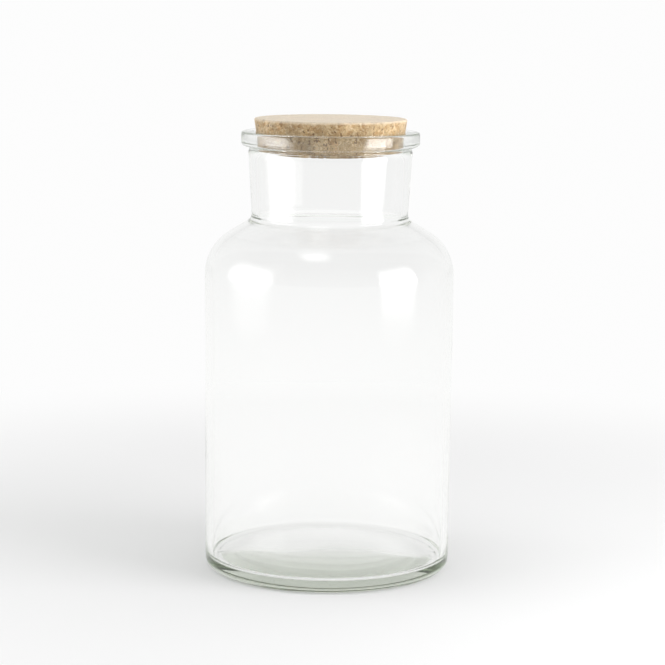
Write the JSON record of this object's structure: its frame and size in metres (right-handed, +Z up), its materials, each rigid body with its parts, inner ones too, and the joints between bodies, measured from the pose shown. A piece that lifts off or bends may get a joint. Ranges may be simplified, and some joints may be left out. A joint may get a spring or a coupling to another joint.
{
  "type": "glass jar with cork lid",
  "caption": "Straight-sided clear glass storage jar with a rounded shoulder, a wide neck, a thick lip and a tapered cork lid that lifts out.",
  "frame": {"origin": "centre of the base, on the plane of the flat ring that the jar stands on", "axes": "+Z up along the jar's axis of revolution, from the base to the cork; X and Y lie in the table plane"},
  "size_m": [0.141, 0.141, 0.2562],
  "materials": {
    "clear_glass": "glossy clear soda-lime glass with a faint grey-green cast where it is thick",
    "pressed_cork": "matt pressed cork granules with darker specks"
  },
  "bodies": {
    "jar": {"glass_jar": "clear_glass"},
    "stopper": {"cork_stopper": "pressed_cork"}
  },
  "joints": [
    {"name": "cork_lift", "type": "slide", "parent": "jar", "child": "stopper", "axis": [0, 0, 1], "range_m": [0, 0.12]}
  ]
}
